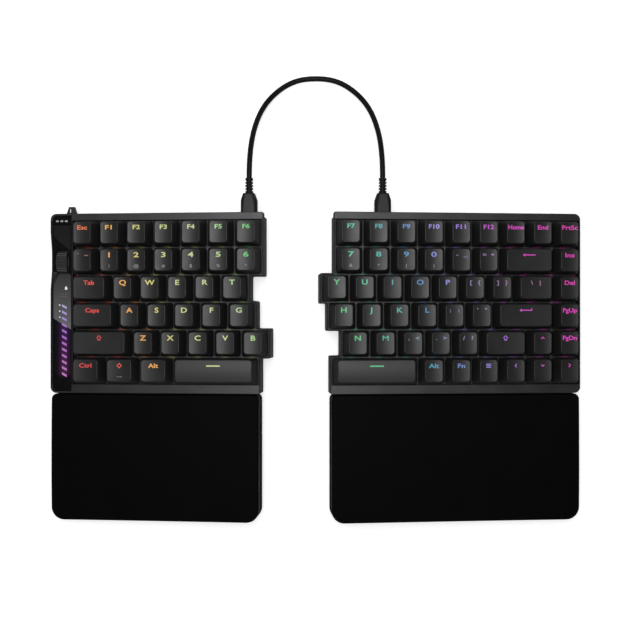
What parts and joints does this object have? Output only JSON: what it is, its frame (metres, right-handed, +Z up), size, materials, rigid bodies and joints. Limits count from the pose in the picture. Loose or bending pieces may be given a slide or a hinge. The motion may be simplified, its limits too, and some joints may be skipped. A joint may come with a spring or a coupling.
{
  "type": "split keyboard",
  "caption": "Ergonomic keyboard in two tented halves joined by a short cable, with padded wrist rests, a side scroll wheel and a lit control strip.",
  "frame": {"origin": "centre of the footprint of both halves and their wrist rests, on the desk", "axes": "+X to the right along the key rows, +Y away from the typist, +Z up from the desk"},
  "size_m": [0.3722, 0.3164, 0.044],
  "materials": {
    "case_plastic": "fine-textured black moulded plastic",
    "frame_metal": "dark grey anodised metal with a satin sheen",
    "plate_metal": "grey coated steel plate",
    "board": "solder-resist coated board",
    "switch_plastic": "black and smoky moulded switch plastic",
    "spring_steel": "plain spring steel",
    "screw_steel": "plain steel",
    "plug_plastic": "black moulded plastic",
    "foot_rubber": "black rubber",
    "strip_gloss": "glossy black panel",
    "accent_metal": "warm grey satin metal",
    "light_guide": "clear frosted light guide",
    "battery_wrap": "foil wrapped cell",
    "cable_rubber": "smooth black cable sheath",
    "wheel_metal": "dark grey satin wheel",
    "pad_leather": "smooth black soft-touch cover over foam",
    "key_cap": "dark grey matte key cap plastic"
  },
  "bodies": {
    "left_half": {"left_bottom_case": "case_plastic", "left_top_frame": "frame_metal", "left_switch_plate": "plate_metal", "left_circuit_board": "board", "left_switch_housings": "switch_plastic", "left_switch_springs": "spring_steel", "left_case_screws": "screw_steel", "left_port_sockets": "screw_steel", "left_plug": "plug_plastic", "left_rubber_feet": "foot_rubber", "strip_cover": "strip_gloss", "accent_plates": "accent_metal", "light_guides": "light_guide", "strap_loop": "foot_rubber", "battery": "battery_wrap", "link_cable": "cable_rubber"},
    "right_half": {"right_bottom_case": "case_plastic", "right_top_frame": "frame_metal", "right_switch_plate": "plate_metal", "right_circuit_board": "board", "right_switch_housings": "switch_plastic", "right_switch_springs": "spring_steel", "right_case_screws": "screw_steel", "right_port_sockets": "screw_steel", "right_plug": "plug_plastic", "right_rubber_feet": "foot_rubber"},
    "wheel_yoke": {"wheel_yoke": "case_plastic"},
    "scroll_wheel": {"scroll_wheel": "wheel_metal"},
    "left_rest": {"left_rest_base": "case_plastic", "left_rest_pad": "pad_leather", "left_rest_rubber_foot": "foot_rubber"},
    "left_tent_foot": {"left_tent_foot": "case_plastic"},
    "left_rest_tent_foot": {"left_rest_tent_foot": "case_plastic"},
    "left_function_keys": {"left_function_keys": "key_cap"},
    "left_number_keys": {"left_number_keys": "key_cap"},
    "tab_key": {"tab_key": "key_cap"},
    "left_upper_letter_keys": {"left_upper_letter_keys": "key_cap"},
    "caps_lock_key": {"caps_lock_key": "key_cap"},
    "left_home_letter_keys": {"left_home_letter_keys": "key_cap"},
    "left_shift_key": {"left_shift_key": "key_cap"},
    "left_lower_letter_keys": {"left_lower_letter_keys": "key_cap"},
    "left_modifier_keys": {"left_modifier_keys": "key_cap"},
    "left_space_key": {"left_space_key": "key_cap"},
    "right_rest": {"right_rest_base": "case_plastic", "right_rest_pad": "pad_leather", "right_rest_rubber_foot": "foot_rubber"},
    "right_tent_foot": {"right_tent_foot": "case_plastic"},
    "right_rest_tent_foot": {"right_rest_tent_foot": "case_plastic"},
    "right_function_keys": {"right_function_keys": "key_cap"},
    "right_number_keys": {"right_number_keys": "key_cap"},
    "backspace_key": {"backspace_key": "key_cap"},
    "right_upper_letter_keys": {"right_upper_letter_keys": "key_cap"},
    "backslash_key": {"backslash_key": "key_cap"},
    "right_home_letter_keys": {"right_home_letter_keys": "key_cap"},
    "enter_key": {"enter_key": "key_cap"},
    "right_lower_letter_keys": {"right_lower_letter_keys": "key_cap"},
    "right_shift_key": {"right_shift_key": "key_cap"},
    "right_modifier_keys": {"right_modifier_keys": "key_cap"},
    "right_space_key": {"right_space_key": "key_cap"},
    "navigation_keys": {"navigation_keys": "key_cap"}
  },
  "joints": [
    {"name": "halves_apart", "type": "slide", "parent": "left_half", "child": "right_half", "axis": [1, 0, 0], "range_m": [-0.0359, 0.06], "deforming": ["link_cable"]},
    {"name": "left_rest_off", "type": "slide", "parent": "left_half", "child": "left_rest", "axis": [0, -1, 0], "range_m": [0, 0.04]},
    {"name": "left_tent_foot_fold", "type": "hinge", "parent": "left_half", "child": "left_tent_foot", "pos_m": [-0.05198, 0.04255, 0.01421], "axis": [0, 1, 0], "range_deg": [0, 90]},
    {"name": "left_rest_tent_foot_fold", "type": "hinge", "parent": "left_rest", "child": "left_rest_tent_foot", "pos_m": [-0.05198, -0.0659, 0.01421], "axis": [0, 1, 0], "range_deg": [0, 90]},
    {"name": "left_function_keys_press", "type": "slide", "parent": "left_half", "child": "left_function_keys", "axis": [0.0872, 0, -0.9962], "range_m": [0, 0.0035], "stiffness_N_per_m": 385, "springref_m": -0.008, "deforming": ["left_switch_springs"]},
    {"name": "left_number_keys_press", "type": "slide", "parent": "left_half", "child": "left_number_keys", "axis": [0.0872, 0, -0.9962], "range_m": [0, 0.0035], "stiffness_N_per_m": 385, "springref_m": -0.008, "deforming": ["left_switch_springs"]},
    {"name": "tab_key_press", "type": "slide", "parent": "left_half", "child": "tab_key", "axis": [0.0872, 0, -0.9962], "range_m": [0, 0.0035], "stiffness_N_per_m": 55, "springref_m": -0.008, "deforming": ["left_switch_springs"]},
    {"name": "left_upper_letter_keys_press", "type": "slide", "parent": "left_half", "child": "left_upper_letter_keys", "axis": [0.0872, 0, -0.9962], "range_m": [0, 0.0035], "stiffness_N_per_m": 275, "springref_m": -0.008, "deforming": ["left_switch_springs"]},
    {"name": "caps_lock_key_press", "type": "slide", "parent": "left_half", "child": "caps_lock_key", "axis": [0.0872, 0, -0.9962], "range_m": [0, 0.0035], "stiffness_N_per_m": 55, "springref_m": -0.008, "deforming": ["left_switch_springs"]},
    {"name": "left_home_letter_keys_press", "type": "slide", "parent": "left_half", "child": "left_home_letter_keys", "axis": [0.0872, 0, -0.9962], "range_m": [0, 0.0035], "stiffness_N_per_m": 275, "springref_m": -0.008, "deforming": ["left_switch_springs"]},
    {"name": "left_shift_key_press", "type": "slide", "parent": "left_half", "child": "left_shift_key", "axis": [0.0872, 0, -0.9962], "range_m": [0, 0.0035], "stiffness_N_per_m": 55, "springref_m": -0.008, "deforming": ["left_switch_springs"]},
    {"name": "left_lower_letter_keys_press", "type": "slide", "parent": "left_half", "child": "left_lower_letter_keys", "axis": [0.0872, 0, -0.9962], "range_m": [0, 0.0035], "stiffness_N_per_m": 275, "springref_m": -0.008, "deforming": ["left_switch_springs"]},
    {"name": "left_modifier_keys_press", "type": "slide", "parent": "left_half", "child": "left_modifier_keys", "axis": [0.0872, 0, -0.9962], "range_m": [0, 0.0035], "stiffness_N_per_m": 165, "springref_m": -0.008, "deforming": ["left_switch_springs"]},
    {"name": "left_space_key_press", "type": "slide", "parent": "left_half", "child": "left_space_key", "axis": [0.0872, 0, -0.9962], "range_m": [0, 0.0035], "stiffness_N_per_m": 55, "springref_m": -0.008, "deforming": ["left_switch_springs"]},
    {"name": "right_rest_off", "type": "slide", "parent": "right_half", "child": "right_rest", "axis": [0, -1, 0], "range_m": [0, 0.04]},
    {"name": "right_tent_foot_fold", "type": "hinge", "parent": "right_half", "child": "right_tent_foot", "pos_m": [0.02897, 0.04255, 0.01622], "axis": [0, -1, 0], "range_deg": [0, 90]},
    {"name": "right_rest_tent_foot_fold", "type": "hinge", "parent": "right_rest", "child": "right_rest_tent_foot", "pos_m": [0.02897, -0.0659, 0.01622], "axis": [0, -1, 0], "range_deg": [0, 90]},
    {"name": "right_function_keys_press", "type": "slide", "parent": "right_half", "child": "right_function_keys", "axis": [-0.0872, 0, -0.9962], "range_m": [0, 0.0035], "stiffness_N_per_m": 495, "springref_m": -0.008, "deforming": ["right_switch_springs"]},
    {"name": "right_number_keys_press", "type": "slide", "parent": "right_half", "child": "right_number_keys", "axis": [-0.0872, 0, -0.9962], "range_m": [0, 0.0035], "stiffness_N_per_m": 330, "springref_m": -0.008, "deforming": ["right_switch_springs"]},
    {"name": "backspace_key_press", "type": "slide", "parent": "right_half", "child": "backspace_key", "axis": [-0.0872, 0, -0.9962], "range_m": [0, 0.0035], "stiffness_N_per_m": 55, "springref_m": -0.008, "deforming": ["right_switch_springs"]},
    {"name": "right_upper_letter_keys_press", "type": "slide", "parent": "right_half", "child": "right_upper_letter_keys", "axis": [-0.0872, 0, -0.9962], "range_m": [0, 0.0035], "stiffness_N_per_m": 385, "springref_m": -0.008, "deforming": ["right_switch_springs"]},
    {"name": "backslash_key_press", "type": "slide", "parent": "right_half", "child": "backslash_key", "axis": [-0.0872, 0, -0.9962], "range_m": [0, 0.0035], "stiffness_N_per_m": 55, "springref_m": -0.008, "deforming": ["right_switch_springs"]},
    {"name": "right_home_letter_keys_press", "type": "slide", "parent": "right_half", "child": "right_home_letter_keys", "axis": [-0.0872, 0, -0.9962], "range_m": [0, 0.0035], "stiffness_N_per_m": 330, "springref_m": -0.008, "deforming": ["right_switch_springs"]},
    {"name": "enter_key_press", "type": "slide", "parent": "right_half", "child": "enter_key", "axis": [-0.0872, 0, -0.9962], "range_m": [0, 0.0035], "stiffness_N_per_m": 55, "springref_m": -0.008, "deforming": ["right_switch_springs"]},
    {"name": "right_lower_letter_keys_press", "type": "slide", "parent": "right_half", "child": "right_lower_letter_keys", "axis": [-0.0872, 0, -0.9962], "range_m": [0, 0.0035], "stiffness_N_per_m": 275, "springref_m": -0.008, "deforming": ["right_switch_springs"]},
    {"name": "right_shift_key_press", "type": "slide", "parent": "right_half", "child": "right_shift_key", "axis": [-0.0872, 0, -0.9962], "range_m": [0, 0.0035], "stiffness_N_per_m": 55, "springref_m": -0.008, "deforming": ["right_switch_springs"]},
    {"name": "right_modifier_keys_press", "type": "slide", "parent": "right_half", "child": "right_modifier_keys", "axis": [-0.0872, 0, -0.9962], "range_m": [0, 0.0035], "stiffness_N_per_m": 165, "springref_m": -0.008, "deforming": ["right_switch_springs"]},
    {"name": "right_space_key_press", "type": "slide", "parent": "right_half", "child": "right_space_key", "axis": [-0.0872, 0, -0.9962], "range_m": [0, 0.0035], "stiffness_N_per_m": 55, "springref_m": -0.008, "deforming": ["right_switch_springs"]},
    {"name": "navigation_keys_press", "type": "slide", "parent": "right_half", "child": "navigation_keys", "axis": [-0.0872, 0, -0.9962], "range_m": [0, 0.0035], "stiffness_N_per_m": 440, "springref_m": -0.008, "deforming": ["right_switch_springs"]},
    {"name": "wheel_press", "type": "slide", "parent": "left_half", "child": "wheel_yoke", "axis": [0.0872, 0, -0.9962], "range_m": [0, 0.0006], "stiffness_N_per_m": 600, "springref_m": -0.0012},
    {"name": "wheel_turn", "type": "hinge", "parent": "wheel_yoke", "child": "scroll_wheel", "pos_m": [-0.177, 0.0708, 0.01411], "axis": [0.9962, 0, 0.0872], "continuous": true}
  ]
}
